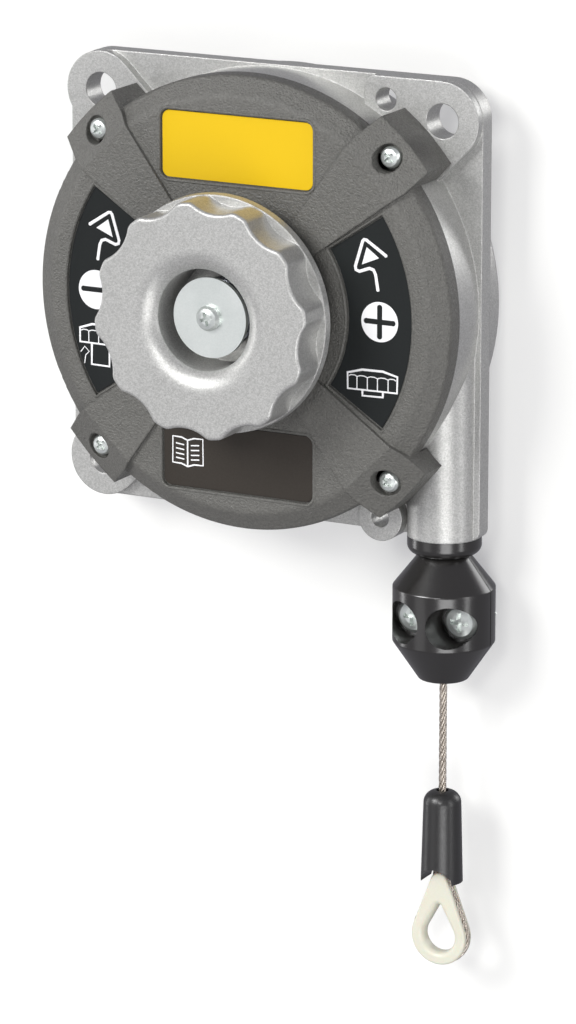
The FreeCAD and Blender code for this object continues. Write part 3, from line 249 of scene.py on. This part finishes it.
looks = {
    "silverPaint": {
        "dark": (0.36, 0.36, 0.345), "light": (0.62, 0.62, 0.60), "metallic": 0.6,
        "roughness": 0.33, "glossSpread": 0.16, "grainScale": 2200, "flakeScale": 2800,
        "flake": 0.6, "tone": 0.2, "bump": 0.3, "bumpHeight": 0.06, "edge": 0.6},
    "coverPaint": {
        "dark": (0.080, 0.079, 0.071), "light": (0.165, 0.162, 0.148), "metallic": 0.1,
        "roughness": 0.36, "glossSpread": 0.2, "flakeScale": 1900, "flake": 0.35,
        "bump": 1.0, "bumpHeight": 0.45, "edge": 0.8},
    "zincPlate": {
        "dark": (0.56, 0.60, 0.58), "light": (0.80, 0.83, 0.80), "metallic": 0.75,
        "roughness": 0.28, "grainScale": 900, "flake": 0.15, "tone": 0.8, "toneScale": 90,
        "bump": 0.08},
    "labelYellow": {
        "dark": (0.63, 0.41, 0.002), "light": (0.68, 0.44, 0.003), "roughness": 0.45,
        "Specular IOR Level": 0.25, "flake": 0.1, "bump": 0.04},
    "labelBlack": {
        "dark": (0.010, 0.012, 0.012), "light": (0.014, 0.016, 0.016), "roughness": 0.46,
        "Specular IOR Level": 0.2, "bump": 0.05},
    "labelDark": {
        "dark": (0.028, 0.023, 0.018), "light": (0.040, 0.034, 0.028), "roughness": 0.42,
        "Specular IOR Level": 0.25, "bump": 0.05},
    "whiteInk": {
        "dark": (0.80, 0.80, 0.80), "light": (0.86, 0.86, 0.86), "roughness": 0.5,
        "bump": 0.03},
    "bronze": {
        "dark": (0.42, 0.25, 0.12), "light": (0.55, 0.36, 0.18), "metallic": 0.9,
        "roughness": 0.38},
    "machinedSteel": {
        "dark": (0.36, 0.36, 0.36), "light": (0.52, 0.52, 0.52), "metallic": 0.95,
        "roughness": 0.28},
    "hardSteel": {
        "dark": (0.12, 0.12, 0.125), "light": (0.22, 0.22, 0.225), "metallic": 0.9,
        "roughness": 0.36},
    "springSteel": {
        "dark": (0.20, 0.21, 0.24), "light": (0.34, 0.35, 0.38), "metallic": 0.95,
        "roughness": 0.26},
    "drumCasting": {
        "dark": (0.36, 0.36, 0.35), "light": (0.52, 0.52, 0.50), "metallic": 0.8,
        "roughness": 0.48, "bump": 0.4},
    "blackNylon": {
        "dark": (0.012, 0.011, 0.010), "light": (0.015, 0.014, 0.013), "roughness": 0.22,
        "glossSpread": 0.04, "Specular IOR Level": 0.9, "grainScale": 700, "flake": 0.1,
        "bump": 0.02, "bumpHeight": 0.03},
    "blackRubber": {
        "dark": (0.012, 0.012, 0.012), "light": (0.021, 0.020, 0.019), "roughness": 0.3,
        "glossSpread": 0.12, "Specular IOR Level": 0.7, "flake": 0.4, "bumpHeight": 0.05},
    "ivoryNylon": {
        "dark": (0.58, 0.57, 0.46), "light": (0.68, 0.67, 0.57), "roughness": 0.3,
        "Subsurface Weight": 0.2, "Subsurface Scale": 2 * mm, "flake": 0.15, "tone": 0.6,
        "toneScale": 60, "bump": 0.08},
    "ropeSteel": {
        "dark": (0.24, 0.20, 0.16), "light": (0.80, 0.74, 0.66), "metallic": 0.85,
        "roughness": 0.26, "grainScale": 2500, "flake": 0.5, "tone": 0.4},
    "ferruleMetal": {
        "dark": (0.40, 0.40, 0.40), "light": (0.56, 0.56, 0.56), "metallic": 0.9,
        "roughness": 0.34},
}
finishes = {name: skin(name, look) for name, look in looks.items()}

slotFinish = {
    "silver_casting": "silverPaint", "grey_cover": "coverPaint", "zinc_steel": "zincPlate",
    "yellow_label": "labelYellow", "black_label": "labelBlack", "dark_label": "labelDark",
    "bearing_bronze": "bronze", "machined_steel": "machinedSteel",
    "hardened_steel": "hardSteel", "knob_silver": "silverPaint", "spring_steel": "springSteel",
    "drum_casting": "drumCasting", "black_nylon": "blackNylon", "wire_rope": "ropeSteel",
    "ferrule_metal": "ferruleMetal", "black_rubber": "blackRubber",
    "ivory_nylon": "ivoryNylon",
}


def dress(piece, finish):
    piece.data.materials.clear()
    piece.data.materials.append(finishes[finish])


for part in frame["record"]["subparts"]:
    dress(nodes[part["node"]], slotFinish[part["material_slot"]])
print("materials made")


# wire rope: six strands laid round a core

rope = {"radius": 1.25 * mm, "lay": 15 * mm, "strands": 6, "steps": 48, "rounds": 2}


def ropeRoute(name, points):
    curve = drawCurve(name, points, kind="NURBS", resolution_u=rope["steps"])
    curve.splines[0].order_u = 3
    curve.splines[0].use_endpoint_u = True
    route = place(curve)
    flat = bpy.data.meshes.new_from_object(route)
    line = [vertex.co.copy() for vertex in flat.vertices]
    bpy.data.objects.remove(route)
    return line


def strand(name, line, radius, orbit, phase):
    # one strand in a helix round the line, which stays in a plane square to the drum axis
    side = Vector((0, 1, 0))
    travelled = 0.0
    helix = []
    for index, spot in enumerate(line):
        ahead = line[min(index + 1, len(line) - 1)] - line[max(index - 1, 0)]
        across = ahead.normalized().cross(side)
        if index:
            travelled += (spot - line[index - 1]).length
        turn = phase - math.tau * travelled / rope["lay"]
        helix.append(spot + orbit * (math.cos(turn) * across + math.sin(turn) * side))
    return settle(roundLine(name, helix, radius, rope["rounds"]))


def wireRope(name, points):
    line = ropeRoute(name, points)
    thin = rope["radius"] / 3
    strands = [strand(name, line, thin, 0, 0)]
    for index in range(rope["strands"]):
        strands.append(strand(name, line, thin, rope["radius"] - thin,
                              math.tau * index / rope["strands"]))
    piece = smooth(joined(name, strands))
    dress(piece, "ropeSteel")
    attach(piece, "cable_end")
    return piece, line


cableLow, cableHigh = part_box("cable")
cableAt = (cableLow + cableHigh) / 2
cableRun = [(cableAt.x, cableAt.y, level) for level in (cableHigh.z, cableAt.z, cableLow.z)]

# the return bend round the thimble: sideways from the cable, and up from the eye's centre
eye = {"radius": 9.6 * mm,
       "run": [(1.4, 18.6), (6.9, 7.2), (9.7, 0.2), (6.6, -6.5), (0.0, -8.75),
               (-6.6, -6.5), (-9.7, 0.2), (-6.9, 7.2), (-1.4, 18.6)]}
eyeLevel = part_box("thimble")[0].z + eye["radius"]
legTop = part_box("cable_loop")[1].z
eyeRun = [(cableAt.x + across * mm, cableAt.y, eyeLevel + up * mm) for across, up in eye["run"]]
eyeRun = [(eyeRun[0][0], cableAt.y, legTop), *eyeRun, (eyeRun[-1][0], cableAt.y, legTop)]

eyeRope = wireRope("eyeRope", eyeRun)[0]
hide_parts("cable_loop")
freeCable, freeLine = wireRope("freeCable", cableRun)
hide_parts("cable")
print("cable laid")


# the cover's moulded beads, one round each sunk plate

bead = {"radius": 0.55 * mm, "out": 0.95 * mm, "sink": 0.3 * mm, "corner": 2.6 * mm,
        "plateDepth": 0.8 * mm, "steps": 40, "cornerSteps": 8, "rounds": 3}
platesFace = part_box("label_right")[0].y
coverFace = platesFace - bead["plateDepth"]


def arcPoints(centre, radius, start, stop, steps):
    turns = [start + (stop - start) * step / steps for step in range(steps + 1)]
    return [(centre[0] + radius * math.cos(turn), centre[1] + radius * math.sin(turn))
            for turn in turns]


def buildBead(points):
    ring = [(across, coverFace + bead["sink"], up) for across, up in points]
    return settle(roundLine("bead", ring, bead["radius"], bead["rounds"], closed=True))


def sideBead(node):
    # out along the outer arc, and back along the inner one
    low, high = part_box(node)
    side = 1 if high.x > 0 else -1
    outer = max(abs(low.x), abs(high.x))
    half = math.asin(high.z / outer)
    inner = min(abs(low.x), abs(high.x)) / math.cos(half)
    points = []
    for radius, way in ((outer + bead["out"], 1), (inner - bead["out"], -1)):
        reach = way * (half + bead["out"] / radius)
        points += arcPoints((0, 0), radius, -reach, reach, bead["steps"])
    return buildBead([(side * across, up) for across, up in points])


def endBead(node):
    low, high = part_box(node)
    corner = bead["corner"] + bead["out"]
    left, right = low.x - bead["out"] + corner, high.x + bead["out"] - corner
    bottom, top = low.z - bead["out"] + corner, high.z + bead["out"] - corner
    points = []
    for index, centre in enumerate(((right, top), (left, top), (left, bottom), (right, bottom))):
        start = index * math.pi / 2
        points += arcPoints(centre, corner, start, start + math.pi / 2, bead["cornerSteps"])
    return buildBead(points)


beads = joined("coverBeads", [sideBead("label_right"), sideBead("label_left"),
                              endBead("label_top"), endBead("label_bottom")])
smooth(beads)
dress(beads, "coverPaint")
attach(beads, "housing")
print("beads moulded")


# printed signs on the plates, in millimetres across and up from the drum axis

ink = {"thick": 0.06 * mm, "line": 1.1, "outline": 0.8, "thin": 0.35, "discSides": 64,
       "rounds": 3}


def inkLine(points, width, closed=False):
    # a printed stroke: a round line pressed flat on the plate
    flat = [(across * mm, 0, up * mm) for across, up in points]
    piece = roundLine("stroke", flat, width * mm / 2, ink["rounds"], closed)
    piece.scale.y = ink["thick"] / (width * mm)
    piece.location.y = platesFace
    return settle(piece)


def inkDisc(across, up, radius):
    bpy.ops.mesh.primitive_cylinder_add(vertices=ink["discSides"], radius=radius * mm,
                                        depth=ink["thick"], rotation=(math.pi / 2, 0, 0),
                                        location=(across * mm, platesFace, up * mm))
    return settle(bpy.context.active_object)


def inkStroke(points, width):
    # a stroke with round ends
    return [inkLine(points, width), inkDisc(*points[0], width / 2),
            inkDisc(*points[-1], width / 2)]


def inkShape(corners):
    # a filled shape with straight sides
    flat = [(across * mm, up * mm, 0) for across, up in corners]
    piece = place(drawCurve("shape", flat, closed=True, dimensions="2D", fill_mode="BOTH",
                            extrude=ink["thick"] / 2))
    piece.rotation_euler = (math.pi / 2, 0, 0)
    piece.location.y = platesFace
    return settle(piece)


def moved(points, side, shift):
    # the sign drawn for the right plate, put on either side
    return [(side * across + shift, up) for across, up in points]


def printSign(name, parts, finish):
    piece = joined(name, parts)
    dress(piece, finish)
    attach(piece, "housing")
    return piece


turnArrow = {
    "head": [(51.8, 21.3), (45.1, 25.6), (44.3, 25.7), (43.8, 25.1), (41.3, 17.0),
             (41.5, 15.9), (42.7, 15.5), (46.2, 16.8), (47.6, 16.4), (48.3, 15.0), (49.1, 10.3)],
    "core": [(45.2, 23.4), (49.5, 20.3), (43.6, 17.8)],
}
countSign = {"centre": (49.8, 0.2), "radius": 6.35, "reach": 4.6, "width": 1.75}
knobSign = {
    "crown": [(38.7, -16.9), (43.8, -15.5), (51.0, -15.4), (56.0, -16.6), (55.9, -21.8),
              (38.8, -22.0)],
    "ribs": (42.0, 45.6, 49.1, 52.8), "ribTop": -17.9, "ribFoot": -21.9,
    "neck": [(43.9, -22.1), (43.9, -23.8), (51.0, -23.6), (51.0, -22.0)],
}
liftSign = {
    "crown": [(-57.0, -12.7), (-52.5, -11.2), (-45.2, -11.1), (-40.2, -12.3), (-40.3, -17.5),
              (-57.0, -17.3)],
    "ribs": (-53.8, -50.2, -46.7, -43.1), "ribTop": -13.6, "ribFoot": -17.4,
    "neck": [(-52.7, -17.6), (-52.8, -24.3), (-46.3, -24.4), (-46.2, -17.6)],
    "up": [(-56.7, -20.5), (-55.3, -18.7), (-53.7, -20.2), (-55.0, -21.5), (-55.4, -24.1)],
}
flute = {"half": 0.7, "rise": 0.4}


def arrowParts(side, shift):
    return (inkStroke(moved(turnArrow["head"], side, shift), ink["line"])
            + [inkShape(moved(turnArrow["core"], side, shift)[::side])])


def knobParts(sign):
    # the fluted knob seen from its side
    parts = [inkLine(sign["crown"], ink["outline"], closed=True),
             inkLine(sign["neck"], ink["outline"])]
    left, right = sign["crown"][-1][0], sign["crown"][-2][0]
    edges = (left + ink["outline"] / 2, *sign["ribs"], right - ink["outline"] / 2)
    top, crest = sign["ribTop"], sign["ribTop"] + flute["rise"]
    for rib in sign["ribs"]:
        parts.append(inkLine([(rib, top), (rib, sign["ribFoot"])], ink["thin"]))
    for start, stop in zip(edges, edges[1:]):
        middle = (start + stop) / 2
        parts.append(inkLine([(start, top), (middle - flute["half"], crest),
                              (middle + flute["half"], crest), (stop, top)], ink["thin"]))
    return parts


def countCentre(side, shift):
    return moved([countSign["centre"]], side, shift)[0]


def countBar(side, shift, upright):
    across, up = countCentre(side, shift)
    reach = countSign["reach"]
    if upright:
        ends = [(across, up - reach), (across, up + reach)]
    else:
        ends = [(across - reach, up), (across + reach, up)]
    bar = inkStroke(ends, countSign["width"])
    for piece in bar:
        # on top of the disc
        piece.location.y = -ink["thick"]
        settle(piece)
    return bar


bookSign = {
    "spine": [(-18.1, -45.3), (-18.1, -53.9)],
    "left": [(-18.1, -45.3), (-20.3, -44.5), (-23.4, -44.4), (-23.5, -53.0), (-20.3, -53.1),
             (-18.1, -53.9)],
    "right": [(-18.1, -45.3), (-15.8, -44.5), (-12.6, -44.4), (-12.5, -53.0), (-15.8, -53.1),
              (-18.1, -53.9)],
    "lines": (-46.9, -48.5, -50.1, -51.6), "reach": 3.0, "gap": 1.2, "rise": 0.3,
    "outline": 0.55, "row": 0.45,
}


def bookParts():
    parts = [inkLine(bookSign[key], bookSign["outline"]) for key in ("spine", "left", "right")]
    middle = bookSign["spine"][0][0]
    for level in bookSign["lines"]:
        for side in (-1, 1):
            start = middle + side * bookSign["gap"]
            stop = start + side * bookSign["reach"]
            parts.append(inkLine([(start, level), (stop, level + bookSign["rise"])],
                                 bookSign["row"]))
    return parts


leftShift = -1.1
printSign("signMore", [inkDisc(*countCentre(1, 0), countSign["radius"])] + arrowParts(1, 0)
          + knobParts(knobSign), "whiteInk")
printSign("signMoreBars", countBar(1, 0, True) + countBar(1, 0, False),
          "labelBlack")
printSign("signLess", [inkDisc(*countCentre(-1, leftShift), countSign["radius"])]
          + arrowParts(-1, leftShift) + knobParts(liftSign)
          + inkStroke(liftSign["up"], ink["thin"]), "whiteInk")
printSign("signLessBar", countBar(-1, leftShift, False), "labelBlack")
printSign("signBook", bookParts(), "whiteInk")
print("signs printed")


# stage and light, in metres

wall = {"size": 6, "behind": 1.5 * mm, "level": -0.1, "paint": (0.54, 0.54, 0.51, 1),
        "roughness": 0.9, "specular": 0.1, "glow": (0.96, 0.96, 1, 1), "glowPower": 0.36}
room = {"colour": (0.93, 0.92, 1.0, 1), "level": 0.42, "mirrorLevel": 0.34}
lights = {
    "keyLight": {"spot": (-0.85, -1.7, 1.05), "aim": -0.05, "size": (0.9, 0.9), "power": 34},
    "frontLight": {"spot": (0.35, -2.0, 0.75), "aim": -0.05, "size": (0.5, 0.5), "power": 10},
    "lowPanel": {"spot": (-0.9, -1.7, -0.5), "aim": -0.05, "size": (0.8, 0.8), "power": 1.3},
    "leftStrip": {"spot": (-1.6, -0.35, 0.0), "aim": -0.1, "size": (0.3, 1.4), "power": 6},
    "rearLight": {"spot": (1.0, 1.5, 0.5), "aim": -0.05, "size": (0.8, 0.8), "power": 8},
    "lowFill": {"spot": (1.0, -1.6, -0.75), "aim": -0.05, "size": (1.1, 1.1), "power": 15},
    "rightStrip": {"spot": (1.5, -0.3, 0.1), "aim": -0.1, "size": (0.25, 1.4), "power": 5},
}


def buildBackdrop():
    # a pale wall right behind the housing, there for the camera in front and no other ray
    bpy.ops.mesh.primitive_plane_add(size=wall["size"], rotation=(math.pi / 2, 0, 0),
                                     location=(0, wall["behind"], wall["level"]))
    panel = settle(bpy.context.active_object)
    panel.name = "backdrop"
    material = bpy.data.materials.new("paleWall")
    material.use_nodes = True
    tree = material.node_tree
    shader = tree.nodes["Principled BSDF"]
    shader.inputs["Base Color"].default_value = wall["paint"]
    shader.inputs["Roughness"].default_value = wall["roughness"]
    shader.inputs["Specular IOR Level"].default_value = wall["specular"]
    shader.inputs["Emission Color"].default_value = wall["glow"]
    shader.inputs["Emission Strength"].default_value = wall["glowPower"]
    clear = addNode(tree, "ShaderNodeBsdfTransparent")
    geometry = addNode(tree, "ShaderNodeNewGeometry")
    front = addNode(tree, "ShaderNodeMath", operation="SUBTRACT", use_clamp=True)
    route = addNode(tree, "ShaderNodeLightPath")
    choose = addNode(tree, "ShaderNodeMixShader")
    tree.links.new(route.outputs["Is Camera Ray"], front.inputs[0])
    tree.links.new(geometry.outputs["Backfacing"], front.inputs[1])
    tree.links.new(front.outputs[0], choose.inputs[0])
    tree.links.new(clear.outputs[0], choose.inputs[1])
    tree.links.new(shader.outputs[0], choose.inputs[2])
    tree.links.new(choose.outputs[0], tree.nodes["Material Output"].inputs["Surface"])
    panel.data.materials.append(material)


def addLight(name, spot, aim, size, power):
    # a soft box that faces the point at the height aim on the middle line
    light = bpy.data.lights.new(name, "AREA")
    light.shape = "RECTANGLE"
    light.size, light.size_y = size
    light.energy = power
    lamp = bpy.data.objects.new(name, light)
    lamp.location = spot
    lamp.rotation_euler = (Vector((0, 0, aim)) - Vector(spot)).to_track_quat("-Z", "Y").to_euler()
    bpy.context.scene.collection.objects.link(lamp)


def buildRoom():
    # an even pale world, a little darker in what mirrors it
    world = bpy.data.worlds.new("softRoom")
    world.use_nodes = True
    tree = world.node_tree
    back = tree.nodes["Background"]
    back.inputs["Color"].default_value = room["colour"]
    route = addNode(tree, "ShaderNodeLightPath")
    level = addNode(tree, "ShaderNodeMapRange")
    level.inputs["To Min"].default_value = room["level"]
    level.inputs["To Max"].default_value = room["mirrorLevel"]
    tree.links.new(route.outputs["Is Glossy Ray"], level.inputs["Value"])
    tree.links.new(level.outputs["Result"], back.inputs["Strength"])
    bpy.context.scene.world = world


buildBackdrop()
for name, light in lights.items():
    addLight(name, **light)
buildRoom()
bpy.context.scene.view_settings.view_transform = "Standard"
print("stage lit")
